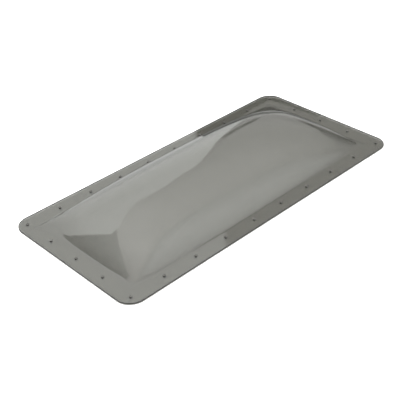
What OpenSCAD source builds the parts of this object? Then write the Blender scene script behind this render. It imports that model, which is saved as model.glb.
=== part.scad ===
// Smoked skylight dome that covers a roof opening on a caravan or motorhome, as fitted:
// one blown sheet with a flat drilled flange, four strips of butyl tape under the flange
// and a ring of pan-head screws.
// X runs along the length, Y across and Z up. The origin is the middle of the footprint,
// on the roof skin: the tape lies on z = 0 and the screws go down through it.

/* [Fixing holes] */
// Distance from one fixing hole to the next, the same on all four sides
hole_pitch = 88.9; // [80:0.1:100]
// Spaces between the holes of a long side
gaps_long = 9; // [5:2:11]
// Spaces between the holes of a short side
gaps_short = 4; // [2:2:6]
// Diameter of the holes through the sheet and the tape
hole_d = 4.8; // [4.2:0.1:6]
// From the line of holes to the edge of the sheet
edge_inset = 25.4; // [22:0.1:30]

/* [Sheet] */
// Thickness of the flange
sheet_t = 3; // [2.5:0.1:4]
// Thickness at the top of the dome, where blowing has thinned the sheet
crown_t = 2.2; // [1.6:0.1:3]
// Corner radius of the flange
corner_r = 38; // [26:1:45]

/* [Dome] */
// Height of the dome over the flange
dome_rise = 78; // [60:1:100]
// From the end of the sheet to the foot of the dome's wall
rim_end = 53; // [46:1:70]
// From the side of the sheet to the foot of the dome's wall
rim_side = 47; // [46:1:60]
// How boxy the dome is along its length, where 2 is an even arch
end_power = 2.85; // [2:0.05:4]
// How boxy the dome is across its width
side_power = 2; // [2:0.05:3]
// How far the foot fills its corners, where 1 would be square
corner_fill = 0.99; // [0.6:0.01:0.99]
// How fast the wall turns into the crown, where 0.5 is round and 1 is slack
fullness = 0.68; // [0.5:0.01:1]

/* [Seal] */
// Width of the butyl tape, which has the screws down its middle
seal_w = 38; // [32:1:40]
// Thickness of the tape once the screws have squeezed it
seal_t = 2; // [1.5:0.1:3]

/* [Screws] */
// Diameter of the pan head
head_d = 6.9; // [6.5:0.1:9]
// Height of the pan head
head_h = 2.3; // [1.8:0.1:3]
// Diameter over the thread
thread_d = 3.5; // [3:0.1:4]
// Diameter of the plain neck under the head
neck_d = 3; // [2.5:0.1:3]
// Length under the head
screw_l = 25.4; // [18:0.1:32]

/* [Hidden] */

// Half lengths along X and half widths along Y, from the outside inwards
hole_x = hole_pitch * gaps_long / 2;
hole_y = hole_pitch * gaps_short / 2;
sheet_x = hole_x + edge_inset;
sheet_y = hole_y + edge_inset;
seal_x = hole_x + seal_w / 2;
seal_y = hole_y + seal_w / 2;
foot_x = sheet_x - rim_end;
foot_y = sheet_y - rim_side;

// Heights above the roof skin
flange_z = seal_t;
flange_top = flange_z + sheet_t;
crown_z = flange_top + dome_rise;

bite = 0.3;        // how far the dome's skins run on inside the flange that holds them
cut = 1;           // how far a cutting shape runs past the face that it cuts
point_l = 3.5;     // length of a screw's point
recess_w = 0.9;    // width of one arm of the cross recess
recess_span = 3.8; // the recess, from tip to tip
recess_depth = 1.3;

// Facets of the dome: along half an end, along half a side, and from crown to foot
end_steps = 8;
side_steps = 12;
rings = 14;
$fn = 48;

// The dome's height over its foot, as a share of the crown's, is room(x, y) ^ fullness,
// where x and y are shares of the half length and half width of the foot. room falls from 1
// at the crown to 0 at the foot.
function room(x, y) =
    let (u = pow(abs(x), end_power), v = pow(abs(y), side_power))
    max(0, 1 - u - v + corner_fill * u * v);

// Where the foot lies on one axis, when t is its powered share on the other axis
function partner(t) = (1 - t) / (1 - corner_fill * t);

// The foot's corner, where both powered shares are equal
corner_t = (1 - sqrt(1 - corner_fill)) / corner_fill;
corner_x = pow(corner_t, 1 / end_power);
corner_y = pow(corner_t, 1 / side_power);

// Step i of n from 0 to 1. The steps get shorter towards 1, where the foot turns its corner.
function step(i, n) = 1 - pow(1 - i / n, 1.7);

// A quarter of the foot, from the middle of the +X end to the middle of the +Y side
end_half = [for (i = [0 : end_steps - 1])
    let (y = corner_y * step(i, end_steps))
    [pow(partner(pow(y, side_power)), 1 / end_power), y]];
side_half = [for (i = [side_steps : -1 : 0])
    let (x = corner_x * step(i, side_steps))
    [x, pow(partner(pow(x, end_power)), 1 / side_power)]];
quarter = concat(end_half, side_half);

// The whole foot, anticlockwise from +X, as shares of its half length and half width
last = len(quarter) - 1;
foot = concat(
    quarter,
    [for (i = [last - 1 : -1 : 0]) [-quarter[i][0], quarter[i][1]]],
    [for (i = [1 : last]) -quarter[i]],
    [for (i = [last - 1 : -1 : 1]) [quarter[i][0], -quarter[i][1]]]
);
round_n = len(foot);

// Ring i of a skin, from the crown (0) to the foot (rings): close together near the foot,
// where the wall is steep
function ring_share(i) = 1 - pow(1 - i / rings, 2);

// One skin of the dome: the crown's point, then every ring. in is how far the skin's foot
// lies inside the dome's, base the height of its foot and top the height of its crown.
function skin(in, base, top) = concat(
    [[0, 0, top]],
    [for (i = [1 : rings], p = foot)
        let (s = ring_share(i))
        [
            (foot_x - in) * s * p[0],
            (foot_y - in) * s * p[1],
            i == rings ? base : base + (top - base) * pow(room(s * p[0], s * p[1]), fullness)
        ]]
);

// Point j of ring i in a skin whose points start at index from
function at(from, i, j) = from + 1 + (i - 1) * round_n + j % round_n;

// A skin's triangles, seen from above; turned over for the inside
function skin_faces(from, inside) = [
    for (j = [0 : round_n - 1], t = concat(
        [[from, at(from, 1, j + 1), at(from, 1, j)]],
        [for (i = [1 : rings - 1], k = [0, 1]) k == 0
            ? [at(from, i, j), at(from, i, j + 1), at(from, i + 1, j + 1)]
            : [at(from, i, j), at(from, i + 1, j + 1), at(from, i + 1, j)]]
    )) inside ? [t[0], t[2], t[1]] : t
];

// The wall between two closed rows of points, each a list of indices
function band_faces(upper, lower) = [
    for (j = [0 : round_n - 1], k = [0, 1])
        let (n = (j + 1) % round_n)
        k == 0 ? [upper[j], upper[n], lower[n]] : [upper[j], lower[n], lower[j]]
];

// The blown part of the sheet, closed under its foot inside the flange
module blown_dome() {
    outer = skin(0, flange_top - bite, crown_z);
    inner = skin(sheet_t, flange_z + bite, crown_z - crown_t);
    under = [for (p = foot) [foot_x * p[0], foot_y * p[1], flange_z + bite]];
    inner_from = len(outer);
    under_from = inner_from + len(inner);
    outer_row = [for (j = [0 : round_n - 1]) at(0, rings, j)];
    inner_row = [for (j = [0 : round_n - 1]) at(inner_from, rings, j)];
    under_row = [for (j = [0 : round_n - 1]) under_from + j];
    polyhedron(
        points = concat(outer, inner, under),
        faces = concat(
            skin_faces(0, false),
            skin_faces(inner_from, true),
            band_faces(outer_row, under_row),
            band_faces(under_row, inner_row)
        )
    );
}

// A rectangle of half sizes x and y with round corners
module round_rect(x, y, r) {
    square([2 * x, 2 * (y - r)], center = true);
    square([2 * (x - r), 2 * y], center = true);
    for (i = [-1, 1], j = [-1, 1])
        translate([i * (x - r), j * (y - r)]) circle(r);
}

// Places along a side: the long sides take every hole from corner to corner, and the
// short sides take the ones between
function long_side(side) = [for (i = [0 : gaps_long]) [i * hole_pitch - hole_x, side * hole_y]];
function short_side(side) = [for (i = [1 : gaps_short - 1]) [side * hole_x, i * hole_pitch - hole_y]];

module bores(places, z, h) {
    for (p = places)
        translate([p[0], p[1], z - cut]) cylinder(d = hole_d, h = h + 2 * cut);
}

// The flat flange, open under the dome. The edge of its opening runs inside the dome's wall,
// and its corners lie between those of the foot, so that no edges fall together.
module flange() {
    in = sheet_t / 2;
    translate([0, 0, flange_z]) linear_extrude(sheet_t) difference() {
        round_rect(sheet_x, sheet_y, corner_r);
        polygon([for (j = [0 : round_n - 1])
            let (p = (foot[j] + foot[(j + 1) % round_n]) / 2)
            [(foot_x - in) * p[0], (foot_y - in) * p[1]]]);
    }
}

module dome_shell() {
    color([0.30, 0.30, 0.28, 0.6]) difference() {
        union() {
            flange();
            blown_dome();
        }
        bores(concat(long_side(-1), long_side(1), short_side(-1), short_side(1)), flange_z, sheet_t);
    }
}

// Tape along a long side. It takes in the corners, and its ends follow the sheet's.
module seal_long(side) {
    y = side * (seal_y - seal_w / 2);
    color([0.82, 0.81, 0.77]) difference() {
        linear_extrude(seal_t) intersection() {
            round_rect(seal_x, seal_y, corner_r - edge_inset + seal_w / 2);
            translate([0, y]) square([2 * seal_x + cut, seal_w], center = true);
        }
        bores(long_side(side), 0, seal_t);
    }
}

// Tape across a short side, cut to lie between the two long ones
module seal_short(side) {
    x = side * (seal_x - seal_w / 2);
    color([0.82, 0.81, 0.77]) difference() {
        translate([x, 0, seal_t / 2]) cube([seal_w, 2 * (seal_y - seal_w), seal_t], center = true);
        bores(short_side(side), 0, seal_t);
    }
}

// A pan-head screw with its head on z = 0 and its point down
module screw() {
    head_r = head_d / 2;
    rim = head_h * 0.35;
    dome_r = head_r * 0.55;
    difference() {
        rotate_extrude() polygon(concat(
            [[0, 0], [head_r, 0]],
            [for (a = [0 : 15 : 90])
                [dome_r + (head_r - dome_r) * cos(a), rim + (head_h - rim) * sin(a)]],
            [[0, head_h]]
        ));
        for (a = [0, 90]) rotate(a)
            translate([0, 0, head_h - recess_depth / 2 + cut / 2])
                cube([recess_span, recess_w, recess_depth + cut], center = true);
    }
    translate([0, 0, -flange_top - bite]) cylinder(d = neck_d, h = flange_top + 2 * bite);
    translate([0, 0, point_l - screw_l]) cylinder(d = thread_d, h = screw_l - point_l - flange_top);
    translate([0, 0, -screw_l]) cylinder(d1 = 0, d2 = thread_d, h = point_l);
}

module screw_row(places) {
    color([0.16, 0.15, 0.14])
        for (p = places) translate([p[0], p[1], flange_top]) screw();
}

dome_shell();
seal_long(-1);  // seal_front
seal_long(1);  // seal_back
seal_short(-1);  // seal_left
seal_short(1);  // seal_right
screw_row(long_side(-1));  // screws_front
screw_row(long_side(1));  // screws_back
screw_row(short_side(-1));  // screws_left
screw_row(short_side(1));  // screws_right
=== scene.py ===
"""The looks of a smoked roof skylight dome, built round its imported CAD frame.

Everything is in metres, in the CAD's own frame: X along the length, Y across it, Z up, with
the roof skin at z = 0. The dome, the sealing tape and the screws are each rebuilt finer than
the CAD's, at the CAD's sizes or a hair inside them.
"""

import math

import bmesh
import bpy
import numpy as np
from mathutils import Matrix, Vector
from mathutils.geometry import delaunay_2d_cdt


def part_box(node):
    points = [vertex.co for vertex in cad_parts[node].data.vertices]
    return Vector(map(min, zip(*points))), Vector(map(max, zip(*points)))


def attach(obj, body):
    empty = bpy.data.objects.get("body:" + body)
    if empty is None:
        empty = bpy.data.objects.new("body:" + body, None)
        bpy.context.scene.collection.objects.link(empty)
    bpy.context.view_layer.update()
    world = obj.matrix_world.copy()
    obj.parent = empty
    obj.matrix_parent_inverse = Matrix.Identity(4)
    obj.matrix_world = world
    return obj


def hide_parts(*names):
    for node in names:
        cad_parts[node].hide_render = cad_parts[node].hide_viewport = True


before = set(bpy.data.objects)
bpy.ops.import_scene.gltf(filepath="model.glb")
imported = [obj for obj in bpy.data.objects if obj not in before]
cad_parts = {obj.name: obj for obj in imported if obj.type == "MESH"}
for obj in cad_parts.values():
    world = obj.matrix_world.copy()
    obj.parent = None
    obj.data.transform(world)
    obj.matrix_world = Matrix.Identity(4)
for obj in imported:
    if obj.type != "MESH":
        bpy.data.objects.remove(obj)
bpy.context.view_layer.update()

MM = 0.001
TAU = 2 * math.pi

# ---------------------------------------------------------------------------- sizes

sheet_low, sheet_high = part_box("dome_shell")
SHEET_X, SHEET_Y = sheet_high.x, sheet_high.y
FLANGE_BOTTOM, CROWN = sheet_low.z, sheet_high.z
SHEET_T = 3 * MM
CROWN_T = 2.2 * MM
FLANGE_TOP = FLANGE_BOTTOM + SHEET_T
CORNER_R = 38 * MM
TAPE_R = 31.6 * MM  # outer corners of the long strips of tape

HOLE_PITCH = 88.9 * MM
GAPS_LONG, GAPS_SHORT = 9, 4
HOLE_R = 2.4 * MM
HOLE_X, HOLE_Y = HOLE_PITCH * GAPS_LONG / 2, HOLE_PITCH * GAPS_SHORT / 2

# The dome's foot and its surface, as in the CAD
FOOT_X, FOOT_Y = SHEET_X - 53 * MM, SHEET_Y - 47 * MM
END_POWER, SIDE_POWER = 2.85, 2.0
CORNER_FILL = 0.99
FULLNESS = 0.68
FOOT_ROUND = 5 * MM  # the round between wall and flange reaches this far either side

# Screws, measured from the underside of the head
HEAD_R, HEAD_H = 3.4 * MM, 2.25 * MM
THREAD_R, CORE_R, NECK_R = 1.74 * MM, 1.25 * MM, 1.5 * MM
THREAD_PITCH = 1.27 * MM
SCREW_L = 25.3 * MM
POINT_L = 3.5 * MM
NECK_L = 5 * MM


# ------------------------------------------------------------------------ materials

# What one face of the sheet lets through
SMOKE_FLANGE = (0.515, 0.513, 0.496, 1)
SMOKE_CROWN = (0.58, 0.58, 0.565, 1)
DYE_RISE = 30 * MM  # height over the flange by which the dye is at its weakest
MIRROR_HEAD_ON = 0.09  # what one face mirrors of light that meets it squarely
FLOOR_COLOUR = (0.85, 0.85, 0.85, 1)


def empty_tree(owner):
    """Empty a material's or world's node tree, and give a function that adds a node to it."""
    owner.use_nodes = True
    tree = owner.node_tree
    tree.nodes.clear()

    def add(kind, inputs=None, **settings):
        node = tree.nodes.new("ShaderNode" + kind)
        for key, value in settings.items():
            setattr(node, key, value)
        for key, value in (inputs or {}).items():
            if isinstance(value, bpy.types.NodeSocket):
                tree.links.new(value, node.inputs[key])
            else:
                node.inputs[key].default_value = value
        return node

    return add


def new_material(name):
    """A material with an empty node tree, and a function that adds a node to it."""
    material = bpy.data.materials.new(name)
    return material, empty_tree(material)


def two_tone(add, share, low, high):
    """A colour that goes from low to high as share goes from 0 to 1."""
    ramp = add("ValToRGB", {"Fac": share})
    ends = ramp.color_ramp.elements
    ends[0].color = low
    ends[1].color = high
    return ramp.outputs[0]


def smoked_sheet():
    """Clear sheet dyed grey: it tints what is behind it and mirrors more at a low angle."""
    material, add = new_material("smoked_sheet")
    place = add("TexCoord").outputs["Object"]
    facing = add("LayerWeight", {"Blend": 0.5}).outputs["Facing"]
    grazing = add("Math", {0: facing, 1: 5.0}, operation="POWER").outputs[0]
    mirror = add(
        "MapRange", {"Value": grazing, "To Min": MIRROR_HEAD_ON, "To Max": 1.0}
    ).outputs[0]
    ripple = add("TexNoise", {"Vector": place, "Scale": 5.0, "Detail": 1.0}).outputs[0]
    bump = add("Bump", {"Height": ripple, "Strength": 1.0, "Distance": 0.3 * MM}).outputs[0]
    haze = add("TexNoise", {"Vector": place, "Scale": 9.0, "Detail": 6.0}).outputs[0]
    rough = add("MapRange", {"Value": haze, "To Min": 0.03, "To Max": 0.06}).outputs[0]
    # Blowing thins the sheet towards the crown, and there the dye is weaker
    height = add("SeparateXYZ", {0: place}).outputs["Z"]
    risen = add(
        "MapRange", {"Value": height, "From Min": FLANGE_TOP, "From Max": FLANGE_TOP + DYE_RISE}
    ).outputs[0]
    dye = two_tone(add, risen, SMOKE_FLANGE, SMOKE_CROWN)
    clear = add("BsdfTransparent", {"Color": dye})
    gloss = add("BsdfGlossy", {"Roughness": rough, "Normal": bump})
    both = add("MixShader", {0: mirror, 1: clear.outputs[0], 2: gloss.outputs[0]})
    add("OutputMaterial", {"Surface": both.outputs[0]})
    return material


def sheet_edge():
    """The sheet seen through its length, where the dye is nearly black."""
    material, add = new_material("sheet_edge")
    place = add("TexCoord").outputs["Object"]
    saw = add("TexNoise", {"Vector": place, "Scale": 900.0, "Detail": 2.0}).outputs[0]
    colour = two_tone(add, saw, (0.012, 0.012, 0.011, 1), (0.035, 0.035, 0.032, 1))
    shader = add("BsdfPrincipled", {"Base Color": colour, "Roughness": 0.35})
    add("OutputMaterial", {"Surface": shader.outputs[0]})
    return material


def butyl():
    """Pale sealing tape, dull and a little lumpy."""
    material, add = new_material("butyl_tape")
    place = add("TexCoord").outputs["Object"]
    lumps = add("TexNoise", {"Vector": place, "Scale": 160.0, "Detail": 3.0}).outputs[0]
    colour = two_tone(add, lumps, (0.76, 0.76, 0.74, 1), (0.84, 0.84, 0.82, 1))
    bump = add("Bump", {"Height": lumps, "Strength": 0.3, "Distance": 0.4 * MM}).outputs[0]
    shader = add("BsdfPrincipled", {"Base Color": colour, "Roughness": 0.8, "Normal": bump})
    add("OutputMaterial", {"Surface": shader.outputs[0]})
    return material


def dark_steel():
    """Dark plated screw steel, with a fine grain."""
    material, add = new_material("screw_steel")
    place = add("TexCoord").outputs["Object"]
    grain = add("TexNoise", {"Vector": place, "Scale": 1400.0, "Detail": 3.0}).outputs[0]
    colour = two_tone(add, grain, (0.15, 0.145, 0.14, 1), (0.23, 0.225, 0.215, 1))
    rough = add("MapRange", {"Value": grain, "To Min": 0.3, "To Max": 0.5}).outputs[0]
    shader = add("BsdfPrincipled", {"Base Color": colour, "Metallic": 1.0, "Roughness": rough})
    add("OutputMaterial", {"Surface": shader.outputs[0]})
    return material


def matt_floor():
    """A pale surface with no shine."""
    material, add = new_material("floor")
    shader = add(
        "BsdfPrincipled",
        {"Base Color": FLOOR_COLOUR, "Roughness": 0.9, "Specular IOR Level": 0.0},
    )
    add("OutputMaterial", {"Surface": shader.outputs[0]})
    return material


SHEET = smoked_sheet()
EDGE = sheet_edge()
TAPE = butyl()
STEEL = dark_steel()


# --------------------------------------------------------------------------- meshes

WELD = 0.001 * MM  # points closer than this are one
HOLE_STEPS = 32  # facets round a hole
SHEET_CORNER_STEPS = 20  # facets round a corner of the sheet
TAPE_CORNER_STEPS = 16  # and of the tape


def link(name, data):
    """An object that shows data, in the scene."""
    made = bpy.data.objects.new(name, data)
    bpy.context.scene.collection.objects.link(made)
    return made


def add_piece(name, parts, materials, weld=WELD):
    """A smooth-shaded mesh object, with one material for each kind of face in parts."""
    mesh = bpy.data.meshes.new(name)
    mesh.from_pydata(parts.verts, [], parts.faces)
    for material in materials:
        mesh.materials.append(material)
    mesh.polygons.foreach_set("material_index", parts.kinds)
    shape = bmesh.new()
    shape.from_mesh(mesh)
    bmesh.ops.remove_doubles(shape, verts=shape.verts, dist=weld)
    bmesh.ops.recalc_face_normals(shape, faces=shape.faces)
    shape.to_mesh(mesh)
    shape.free()
    mesh.polygons.foreach_set("use_smooth", [True] * len(mesh.polygons))
    mesh.update()
    return link(name, mesh)


def round_rect(x, y, r):
    """Points of a rectangle of half sizes x and y with corners of radius r."""
    turns = np.linspace(0, TAU / 4, SHEET_CORNER_STEPS + 1)
    corners = []
    for k, (i, j) in enumerate(((1, 1), (-1, 1), (-1, -1), (1, -1))):
        a = turns + k * TAU / 4
        corners.append(np.c_[i * (x - r) + r * np.cos(a), j * (y - r) + r * np.sin(a)])
    return np.vstack(corners)


def circle(centre, r):
    """Points round a hole's edge."""
    a = np.arange(HOLE_STEPS) * TAU / HOLE_STEPS
    return np.c_[centre[0] + r * np.cos(a), centre[1] + r * np.sin(a)]


def inside(points, loop):
    """Which points lie within a closed loop."""
    x, y = points[:, :1], points[:, 1:]
    ax, ay = loop[:, 0], loop[:, 1]
    bx, by = np.roll(ax, -1), np.roll(ay, -1)
    crosses = (ay > y) != (by > y)
    with np.errstate(divide="ignore", invalid="ignore"):
        at = ax + (y - ay) * (bx - ax) / (by - ay)
    return (crosses & (x < at)).sum(axis=1) % 2 == 1


def fill(outer, voids):
    """Triangles over the flat area within outer and outside every void: points and faces."""
    loops = [outer, *voids]
    points = np.vstack(loops)
    edges = []
    start = 0
    for loop in loops:
        n = len(loop)
        edges += [(start + i, start + (i + 1) % n) for i in range(n)]
        start += n
    scaled = [Vector(p) for p in points / MM]
    found = delaunay_2d_cdt(scaled, edges, [list(range(len(outer)))], 1, 1e-6)
    flat = np.array([tuple(p) for p in found[0]]) * MM
    faces = np.array(found[2])
    middles = flat[faces].mean(axis=1)
    keep = inside(middles, outer)
    for void in voids:
        keep &= ~inside(middles, void)
    return flat, faces[keep]


class Parts:
    """Points and faces gathered from several pieces of surface."""

    def __init__(self):
        self.verts = []
        self.faces = []
        self.kinds = []

    def add(self, verts, faces, kind=0, flip=False):
        """Faces on their own points. flip turns them over."""
        start = len(self.verts)
        self.verts += [tuple(v) for v in verts]
        for f in faces:
            f = [start + int(i) for i in f]
            self.faces.append(f[::-1] if flip else f)
            self.kinds.append(kind)

    def loops(self, rows, kind=0, flip=False):
        """Quads between closed rows of equally many points."""
        n = len(rows[0])
        faces = [
            (r * n + i, r * n + (i + 1) % n, (r + 1) * n + (i + 1) % n, (r + 1) * n + i)
            for r in range(len(rows) - 1)
            for i in range(n)
        ]
        self.add(np.vstack(rows), faces, kind, flip)


def at_height(loop, z):
    """A flat loop, lifted to z."""
    return np.c_[loop, np.full(len(loop), z)]


def edge_profile(r, guard, low, high, steps=4):
    """(inset, height) down a rounded edge, from a flat guard strip on top to one below."""
    turns = [math.pi / 2 * i / steps for i in range(steps + 1)]
    upper = [(r - r * math.sin(a), high - r + r * math.cos(a)) for a in turns]
    lower = [(inset, low + high - z) for inset, z in reversed(upper)]
    return [(r + guard, high), *upper, *lower, (r + guard, low)]


def plate(parts, outline, hole_r, holes, profile, voids=(), edge_kind=0):
    """A flat plate: outline(inset) gives its border, and it is open within each of voids."""
    for (inset, z), below in ((profile[0], False), (profile[-1], True)):
        loops = [circle(c, hole_r + inset) for c in holes]
        flat, faces = fill(outline(inset), [*loops, *voids])
        parts.add(at_height(flat, z), faces, flip=below)
    parts.loops([at_height(outline(i), z) for i, z in profile], edge_kind)
    for c in holes:
        rows = [at_height(circle(c, hole_r + i), z) for i, z in profile]
        parts.loops(rows, edge_kind, flip=True)


# ----------------------------------------------------------------------------- dome

AROUND = 400  # points in each ring of the dome
WALL_RINGS = 64  # rings from the crown down to the foot's round
FOOT_RINGS = 14  # rings over the foot's round


def room(x, y):
    """1 at the crown, 0 along the foot, and how steeply it falls per metre."""
    s, t = np.abs(x) / FOOT_X, np.abs(y) / FOOT_Y
    u, v = s**END_POWER, t**SIDE_POWER
    along = END_POWER * s ** (END_POWER - 1) / FOOT_X * (1 - CORNER_FILL * v)
    across = SIDE_POWER * t ** (SIDE_POWER - 1) / FOOT_Y * (1 - CORNER_FILL * u)
    return 1 - u - v + CORNER_FILL * u * v, np.hypot(along, across)


def dome_z(x, y):
    """Height of the sheet's upper face, with a round where the wall meets the flange."""
    g, slope = room(x, y)
    e = np.maximum(FOOT_ROUND * slope, 1e-9)
    soft = np.where(g > e, g, np.where(g > -e, (g + e) ** 2 / (4 * e), 0))
    return FLANGE_TOP + (CROWN - FLANGE_TOP) * soft**FULLNESS


def dome_normal(x, y, h=0.05 * MM):
    """Which way the sheet's upper face looks, from its heights a step h to each side."""
    zx = (dome_z(x + h, y) - dome_z(x - h, y)) / (2 * h)
    zy = (dome_z(x, y + h) - dome_z(x, y - h)) / (2 * h)
    n = np.stack([-zx, -zy, np.ones_like(zx)], axis=-1)
    return n / np.linalg.norm(n, axis=-1, keepdims=True)


def foot_loop(steps):
    """Points round the dome's foot, and which way is outwards at each."""
    a = (np.arange(steps) + 0.5) * TAU / steps
    c, s = np.cos(a), np.sin(a)
    # How far out the room is 0, where the powered shares are r c^2 and r s^2
    both = CORNER_FILL * (c * s) ** 2
    r = (1 - np.sqrt(1 - 4 * both)) / (2 * both)
    u, v = r * c**2, r * s**2
    x = np.sign(c) * u ** (1 / END_POWER) * FOOT_X
    y = np.sign(s) * v ** (1 / SIDE_POWER) * FOOT_Y
    out = np.c_[
        END_POWER * u / x * (1 - CORNER_FILL * v),
        SIDE_POWER * v / y * (1 - CORNER_FILL * u),
    ]
    return np.c_[x, y], out / np.linalg.norm(out, axis=1, keepdims=True)


def long_side(side):
    """The holes of the front (-1) or back (1), from corner to corner."""
    return [(i * HOLE_PITCH - HOLE_X, side * HOLE_Y) for i in range(GAPS_LONG + 1)]


def short_side(side):
    """The holes of the left (-1) or right (1) end, between the corners."""
    return [(side * HOLE_X, i * HOLE_PITCH - HOLE_Y) for i in range(1, GAPS_SHORT)]


def make_dome():
    """The blown sheet: dome rings, then the flat drilled flange round them."""
    foot, out = foot_loop(AROUND)
    wall = foot - out * (FOOT_ROUND + 1 * MM)
    close = FOOT_ROUND + 0.2 * MM
    # Closer and closer together towards the foot
    shares = [1 - (1 - i / WALL_RINGS) ** 1.6 for i in range(1, WALL_RINGS + 1)]
    rings = [wall * share for share in shares]
    rings += [foot + out * d for d in np.linspace(-close, close, FOOT_RINGS)]
    rings.append(foot + out * (FOOT_ROUND + 0.8 * MM))
    flat = np.vstack([[[0.0, 0.0]], *rings])
    x, y = flat.T
    z = dome_z(x, y)
    up = dome_normal(x, y)
    risen = (z - FLANGE_TOP) / (CROWN - FLANGE_TOP)
    thick = SHEET_T + (CROWN_T - SHEET_T) * risen
    upper = np.c_[x, y, z]
    lower = upper - up * thick[:, None]
    lower[-2 * AROUND :, 2] = FLANGE_BOTTOM
    parts = Parts()
    caps = [(0, 1 + i, 1 + (i + 1) % AROUND) for i in range(AROUND)]
    for points, flip in ((upper, False), (lower, True)):
        parts.add(points[: 1 + AROUND], caps, flip=flip)
        rows = [points[1 + r * AROUND : 1 + (r + 1) * AROUND] for r in range(len(rings))]
        parts.loops(rows, flip=not flip)
    holes = long_side(-1) + long_side(1) + short_side(-1) + short_side(1)
    plate(
        parts,
        lambda inset: round_rect(SHEET_X - inset, SHEET_Y - inset, CORNER_R - inset),
        HOLE_R,
        holes,
        edge_profile(0.4 * MM, 0.4 * MM, FLANGE_BOTTOM, FLANGE_TOP),
        voids=[rings[-1]],
        edge_kind=1,
    )
    return add_piece("smoked_dome", parts, [SHEET, EDGE])


# ----------------------------------------------------------------------------- tape


def make_tape(name, node, side, along):
    """One strip of tape, a little rounded where the flange has squeezed it."""
    low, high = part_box(node)
    soft = 0.7 * MM
    gap = 0.06 * MM  # what is left free towards the sheet and the next strip

    def outline(inset):
        x0, x1 = low.x + inset, high.x - inset
        y0, y1 = low.y + inset, high.y - inset
        if not along:
            y0 += gap
            y1 -= gap
            return np.array([(x1, y0), (x1, y1), (x0, y1), (x0, y0)])
        r = TAPE_R - inset
        turns = np.linspace(0, TAU / 4, TAPE_CORNER_STEPS + 1)
        right = np.c_[x1 - r + r * np.cos(turns), y1 - r + r * np.sin(turns)]
        left = np.c_[x0 + r - r * np.sin(turns), y1 - r + r * np.cos(turns)]
        loop = np.vstack([[[x1, y0]], right, left, [[x0, y0]]])
        return loop if side > 0 else np.c_[loop[:, 0], low.y + high.y - loop[:, 1]][::-1]

    holes = long_side(side) if along else short_side(side)
    parts = Parts()
    plate(parts, outline, THREAD_R, holes, edge_profile(soft, 0.3 * MM, low.z, high.z - gap))
    return add_piece(name, parts, [TAPE])


# --------------------------------------------------------------------------- screws

SCREW_STEPS = 28  # facets round a screw
THREAD_STEPS = 9  # rows of points in each turn of the thread
HEAD_STEPS = 8  # rows of points over the head's round
RIDGE = 0.32  # half the width of the thread's ridge, as a share of its pitch
BLUNTNESS = 0.8  # how the point fills out, where 1 would be a cone
TIP_R = 0.05 * MM
GOLDEN_ANGLE = 2.39996  # the turn from one screw to the next
LEAN = math.radians(0.6)  # how far each screw stands off upright
HEAD_GAP = 0.03 * MM  # between the sheet and the head


def thread_radius(z, angles):
    """The thread's radius at a height, at each angle. It fades out at the point and neck."""
    turn = (z / THREAD_PITCH - angles / TAU) % 1.0
    ridge = np.clip(1 - np.abs(turn - 0.5) / RIDGE, 0, 1)
    fade = min(1.0, (z + SCREW_L) / POINT_L) ** BLUNTNESS
    end = min(1.0, (-NECK_L - z) / THREAD_PITCH)
    return TIP_R + fade * (CORE_R + (THREAD_R - CORE_R) * ridge * end - TIP_R)


def head_profile():
    """(radius, height) from the screw's plain neck to the top of its head."""
    neck = [(NECK_R, -NECK_L + 0.2 * MM), (NECK_R, -0.15 * MM), (NECK_R + 0.3 * MM, 0.0)]
    rim = HEAD_H * 0.35
    crown_r = HEAD_R * 0.55
    head = [(HEAD_R - 0.15 * MM, 0.0), (HEAD_R, 0.15 * MM)]
    for i in range(HEAD_STEPS + 1):
        a = math.pi / 2 * i / HEAD_STEPS
        r = crown_r + (HEAD_R - crown_r) * math.cos(a)
        head.append((r, rim + (HEAD_H - rim) * math.sin(a)))
    return [*neck, *head, (crown_r * 0.5, HEAD_H)]


def screw_parts():
    """One screw, threaded, with its head's underside on z = 0."""
    angles = np.arange(SCREW_STEPS) * TAU / SCREW_STEPS
    heights = np.arange(-SCREW_L, -NECK_L, THREAD_PITCH / THREAD_STEPS)
    turned = [(thread_radius(z, angles), z) for z in heights] + head_profile()
    rows = [at_height(np.c_[r * np.cos(angles), r * np.sin(angles)], z) for r, z in turned]
    parts = Parts()
    parts.loops(rows)
    cap = [(i, (i + 1) % SCREW_STEPS, SCREW_STEPS) for i in range(SCREW_STEPS)]
    parts.add([*rows[-1], (0, 0, HEAD_H)], cap)
    parts.add([*rows[0], (0, 0, -SCREW_L - TIP_R)], cap, flip=True)
    return parts


def cross_cutter():
    """A tapered cross, which a boolean takes out of the head."""
    span = 3.8 * MM
    width = 0.95 * MM
    top = (HEAD_H + 0.5 * MM, span, width)
    bottom = (HEAD_H - 1.5 * MM, span * 0.35, width * 0.6)
    sides = ((0, 4, 5, 1), (1, 5, 6, 2), (2, 6, 7, 3), (3, 7, 4, 0))
    shape = bmesh.new()
    for angle in (0, math.pi / 2):
        turn = Matrix.Rotation(angle, 3, "Z")
        corners = []
        for z, s, w in (top, bottom):
            for i, j in ((1, 1), (-1, 1), (-1, -1), (1, -1)):
                corners.append(shape.verts.new(turn @ Vector((i * s / 2, j * w / 2, z))))
        for face in ((0, 1, 2, 3), (7, 6, 5, 4), *sides):
            shape.faces.new([corners[i] for i in face])
    mesh = bpy.data.meshes.new("cross")
    shape.to_mesh(mesh)
    shape.free()
    return link("cross", mesh)


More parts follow.
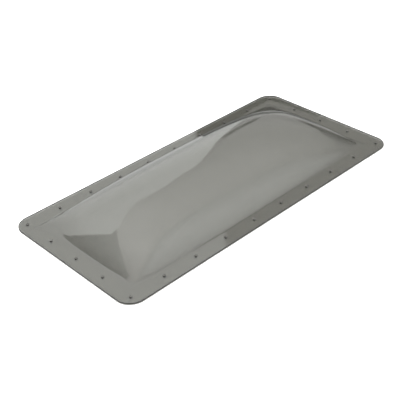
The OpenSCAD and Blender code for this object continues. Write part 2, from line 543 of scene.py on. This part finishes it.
def finished_screw():
    """The screw's mesh with its recess cut, ready to copy."""
    screw = add_piece("screw_form", screw_parts(), [STEEL], weld=WELD / 10)
    cutter = cross_cutter()
    cut = screw.modifiers.new("recess", "BOOLEAN")
    cut.operation = "DIFFERENCE"
    cut.solver = "EXACT"
    cut.object = cutter
    cut.use_self = True
    shown = screw.evaluated_get(bpy.context.evaluated_depsgraph_get())
    mesh = bpy.data.meshes.new_from_object(shown)
    bpy.data.objects.remove(screw)
    bpy.data.objects.remove(cutter)
    return mesh


def make_screws(name, places, form):
    """The screws of one side, each turned to its own angle and leaning its own way."""
    shape = bmesh.new()
    for i, (x, y) in enumerate(places):
        turn = (i * GOLDEN_ANGLE + len(places)) % TAU
        lean = Matrix.Rotation(LEAN, 4, (math.cos(turn), math.sin(turn), 0))
        seat = Matrix.Translation((x, y, FLANGE_TOP + HEAD_GAP))
        one = form.copy()
        one.transform(seat @ lean @ Matrix.Rotation(turn, 4, "Z"))
        shape.from_mesh(one)
        bpy.data.meshes.remove(one)
    mesh = bpy.data.meshes.new(name)
    shape.to_mesh(mesh)
    shape.free()
    mesh.materials.clear()
    mesh.materials.append(STEEL)
    mesh.polygons.foreach_set("material_index", [0] * len(mesh.polygons))
    mesh.polygons.foreach_set("use_smooth", [True] * len(mesh.polygons))
    mesh.set_sharp_from_angle(angle=math.radians(50))
    return link(name, mesh)


def stand_for(piece, node):
    """Show piece in the place of a CAD node, under the root body, and hide the node."""
    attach(piece, "root")
    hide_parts(node)


stand_for(make_dome(), "dome_shell")
SIDES = (
    ("front", -1, True, long_side(-1)),
    ("back", 1, True, long_side(1)),
    ("left", -1, False, short_side(-1)),
    ("right", 1, False, short_side(1)),
)
form = finished_screw()
for where, side, along, places in SIDES:
    tape = make_tape("tape_" + where, "seal_" + where, side, along)
    stand_for(tape, "seal_" + where)
    screws = make_screws("fixing_screws_" + where, places, form)
    stand_for(screws, "screws_" + where)


# ---------------------------------------------------------------- floor, light, camera

# (sine of the elevation, light): the pale floor's glow lies just below the horizon
SKY = (
    (-1.0, 0.5), (-0.27, 0.5), (-0.21, 0.8), (-0.1, 0.75), (-0.03, 0.6), (0.0, 0.5),
    (0.17, 0.61), (0.34, 0.71), (0.5, 0.76), (0.64, 0.93), (0.77, 1.23), (0.87, 1.4),
    (0.94, 1.53), (0.97, 1.62), (1.0, 2.0),
)
SKY_TINT = (1, 1, 0.97)
CARD_TINT = (0.98, 1.0, 0.98, 1)
REACH = 12.0  # from the middle of the floor to its edges
FLOOR_DROP = 0.2 * MM  # the floor lies this far under the tape


def flat_card(name, corners, material):
    """A staged flat shape with any number of corners."""
    mesh = bpy.data.meshes.new(name)
    mesh.from_pydata([tuple(c) for c in corners], [], [tuple(range(len(corners)))])
    mesh.materials.append(material)
    made = link(name, mesh)
    return made


def set_ramp(ramp, stops, tint):
    """Give a colour ramp its stops, (place, level), and one tint. Returns the top level."""
    top = max(level for _, level in stops)
    first = stops[0][0]
    last = stops[-1][0]
    ends = ramp.color_ramp.elements
    for place, _ in stops[1:-1]:
        ends.new((place - first) / (last - first))
    for end, (_, level) in zip(ends, stops):
        end.color = (*(level / top * c for c in tint), 1)
    return top


def glow(name, side, stops, slope):
    """Light by height, as in stops, that also changes by slope for each metre to one side."""
    material, add = new_material(name)
    place = add("TexCoord").outputs["Object"]
    height = add("SeparateXYZ", {0: place}).outputs["Z"]
    share = add(
        "MapRange", {"Value": height, "From Min": stops[0][0], "From Max": stops[-1][0]}
    ).outputs[0]
    ramp = add("ValToRGB", {"Fac": share})
    top = set_ramp(ramp, stops, (1, 1, 1))
    along = add("VectorMath", {0: place, 1: side}, operation="DOT_PRODUCT").outputs["Value"]
    across = add("Math", {0: along, 1: slope}, operation="MULTIPLY").outputs[0]
    light = add(
        "Math", {0: ramp.outputs[0], 1: top, 2: across}, operation="MULTIPLY_ADD"
    ).outputs[0]
    shader = add("Emission", {"Color": CARD_TINT, "Strength": light})
    add("OutputMaterial", {"Surface": shader.outputs[0]})
    return material


def bearing(azimuth):
    """The level direction at an azimuth in degrees, from +Y towards +X."""
    a = math.radians(azimuth)
    return Vector((math.sin(a), math.cos(a), 0))


def card(name, distance, facing, edges, stops, slope=0.0):
    """An upright card that only the sheet's mirrored light sees.

    It stands square to the azimuth facing, and edges are (along, height) at its corners.
    """
    out = bearing(facing)
    side = bearing(facing + 90)
    corners = [out * distance + side * a + Vector((0, 0, h)) for a, h in edges]
    made = flat_card(name, corners, glow(name, side, stops, slope))
    made.visible_camera = False
    made.visible_shadow = False
    made.visible_diffuse = False
    made.visible_transmission = False


def bright_place(add, place, azimuth, elevation, edge, full, light):
    """Light round one direction that begins edge degrees off it and is full at full degrees."""
    rise = math.radians(elevation)
    aim = bearing(azimuth) * math.cos(rise) + Vector((0, 0, math.sin(rise)))
    towards = add("VectorMath", {0: place, 1: aim}, operation="DOT_PRODUCT").outputs["Value"]
    share = add(
        "MapRange",
        {
            "Value": towards,
            "From Min": math.cos(math.radians(edge)),
            "From Max": math.cos(math.radians(full)),
            "To Max": light,
        },
    ).outputs[0]
    return add("Background", {"Strength": share}).outputs[0]


def studio():
    """Light that rises from the horizon to a bright ceiling, with one brighter place."""
    made = bpy.data.worlds.new("studio")
    add = empty_tree(made)
    place = add("TexCoord").outputs["Generated"]
    height = add("SeparateXYZ", {0: place}).outputs["Z"]
    share = add("MapRange", {"Value": height, "From Min": -1.0}).outputs[0]
    ramp = add("ValToRGB", {"Fac": share})
    top = set_ramp(ramp, SKY, SKY_TINT)
    sky = add("Background", {"Color": ramp.outputs[0], "Strength": top})
    bright = bright_place(add, place, azimuth=5, elevation=62, edge=20, full=10, light=0.3)
    light = add("AddShader", {0: sky.outputs[0], 1: bright})
    # Past the floor's edge the camera sees white, like the floor
    white = add("Background", {"Color": (1, 1, 1, 1)})
    seen = add("LightPath").outputs["Is Camera Ray"]
    either = add("MixShader", {0: seen, 1: light.outputs[0], 2: white.outputs[0]})
    add("OutputWorld", {"Surface": either.outputs[0]})
    return made


bpy.context.scene.world = studio()

ground = [(i * REACH, j * REACH, -FLOOR_DROP) for i, j in ((-1, -1), (1, -1), (1, 1), (-1, 1))]
floor = flat_card("floor", ground, matt_floor())
floor.visible_glossy = False

# A big soft box behind: its right edge runs up and its left edge leans
SOFT_BOX = (
    (-13.4, -3.6), (9.1, -3.6), (8.2, -0.8), (7.8, 1.4), (7.5, 3.2), (7.5, 5.2), (7.9, 7.2),
    (8.3, 8.7), (8.9, 11.0), (8.9, 12.1), (7.9, 12.9), (7.1, 15.1), (5.2, 14.9), (3.1, 14.2),
    (1.0, 15.7), (-2.1, 18.8), (-5.3, 17.6), (-6.7, 13.6), (-8.1, 11.1), (-10.0, 9.1),
    (-13.4, 6.8),
)
BOX_LIGHT = (
    (-3.6, 1.2), (0, 1.2), (2.6, 1.58), (5, 1.65), (8, 1.7), (11, 1.87), (15, 1.95), (19, 2.05)
)
card("soft_box", 12.0, 8.0, SOFT_BOX, BOX_LIGHT, -0.012)
# A narrow dark gap off the foot of its right edge
GAP = (
    (7.5, 4.7), (7.5, 3.8), (7.8, 2.8), (8.3, 1.8), (9.1, 0.5), (9.7, 0.5), (9.3, 2.0),
    (8.7, 3.1), (8.2, 4.1), (7.9, 4.8),
)
card("gap", 11.9, 8.0, GAP, ((0, 0.1), (7, 0.1)))
# A dark panel far off to the left
PANEL = ((-23, 0), (20, 0), (20, 40), (-23, 40))
card("left_panel", 20.0, -50.0, PANEL, ((0, 0.5), (40, 1.3)), -0.035)
# A tall bright panel on the camera's right, which fades away to its left
BRIGHT_PANEL = ((-13, -1), (8, -1), (8, 60), (-13, 60))
card("bright_panel", 12.0, 160.0, BRIGHT_PANEL, ((-1, 2.0), (10, 2.05), (25, 2.35)), 0.09)
# A low dark card behind and to the right
RIGHT_CARD = (
    (-3.07, 0.25), (4.6, 0.25), (4.6, 4.9), (1.7, 4.9), (0.4, 3.9), (-1.0, 2.8), (-1.85, 1.6),
    (-3.07, 0.6),
)
DUSK = ((0.25, 0.06), (1.6, 0.1), (2.8, 0.3), (3.9, 0.52), (4.9, 0.72))
card("right_card", 8.0, 80.0, RIGHT_CARD, DUSK)
# Dark grey strips close behind the flange's far corner
STRIP_LIGHT = ((0, 0.22), (1, 0.22))
BACK_STRIP = (
    (0.155, 0.008), (0.44, 0.008), (0.44, 0.034), (0.36, 0.036), (0.31, 0.044), (0.155, 0.046)
)
card("back_strip", 0.212, 0.0, BACK_STRIP, STRIP_LIGHT)
SIDE_STRIP = (
    (-0.212, 0.008), (0.02, 0.008), (-0.05, 0.022), (-0.09, 0.025), (-0.14, 0.025),
    (-0.212, 0.034),
)
card("side_strip", 0.434, 90.0, SIDE_STRIP, STRIP_LIGHT)

sun = link("sun", bpy.data.lights.new("sun", "SUN"))
sun.data.energy = 4.4
sun.data.angle = math.radians(60)
sun.visible_glossy = False

CAMERA_AT = Vector((-1.1475, -1.2108, 1.0899))
AIM = Vector((-0.0719, -0.0350, 0.0037))
ROLL = math.radians(-2.817)
camera = link("camera", bpy.data.cameras.new("camera"))
camera.data.lens = 75.87
camera.data.clip_end = 100
look = (AIM - CAMERA_AT).to_track_quat("-Z", "Y").to_matrix().to_4x4()
camera.matrix_world = Matrix.Translation(CAMERA_AT) @ look @ Matrix.Rotation(ROLL, 4, "Z")
scene = bpy.context.scene
scene.camera = camera
scene.view_settings.view_transform = "Standard"
scene.cycles.transparent_max_bounces = 16
